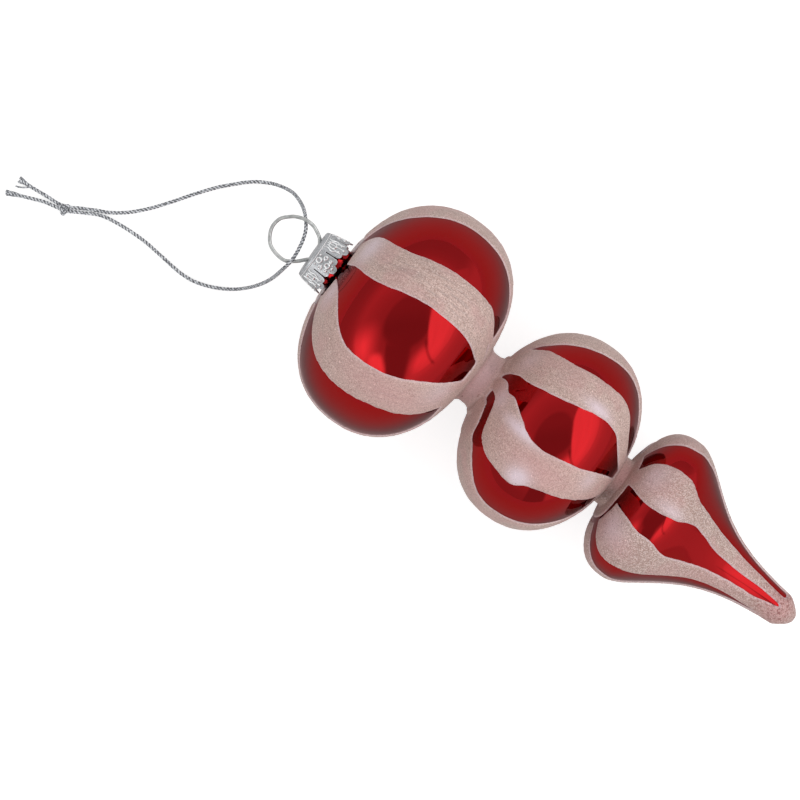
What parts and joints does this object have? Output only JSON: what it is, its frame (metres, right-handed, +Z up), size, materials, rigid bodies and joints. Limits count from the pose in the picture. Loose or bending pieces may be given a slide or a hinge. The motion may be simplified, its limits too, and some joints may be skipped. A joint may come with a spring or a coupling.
{
  "type": "glass finial ornament",
  "caption": "Blown mirrored-glass finial ornament of two round bulbs and a long drop, with glitter swirls, a stamped crown cap, a wire loop and a knotted metallic hanging cord.",
  "frame": {"origin": "on the surface that the ornament lies on, under the middle of the box of the ornament without its cord", "axes": "+X towards the tip of the drop, +Z up; the ornament lies on its two bulbs and its axis dips 5.6 degrees towards the tip"},
  "size_m": [0.265, 0.0778, 0.0712],
  "materials": {
    "glass": "mirrored from inside, clear red gloss",
    "glitter": "fine glitter, sparkling and rough",
    "cap_metal": "stamped, satin",
    "wire_metal": "drawn wire, satin",
    "cord": "twisted metallic thread"
  },
  "bodies": {
    "root": {"glass_body": "glass", "glitter_coat": "glitter", "crown_cap": "cap_metal", "wire_hanger": "wire_metal", "cord_loop": "cord", "cord_tail_a": "cord", "cord_tail_b": "cord", "cord_knot": "cord"}
  },
  "joints": []
}
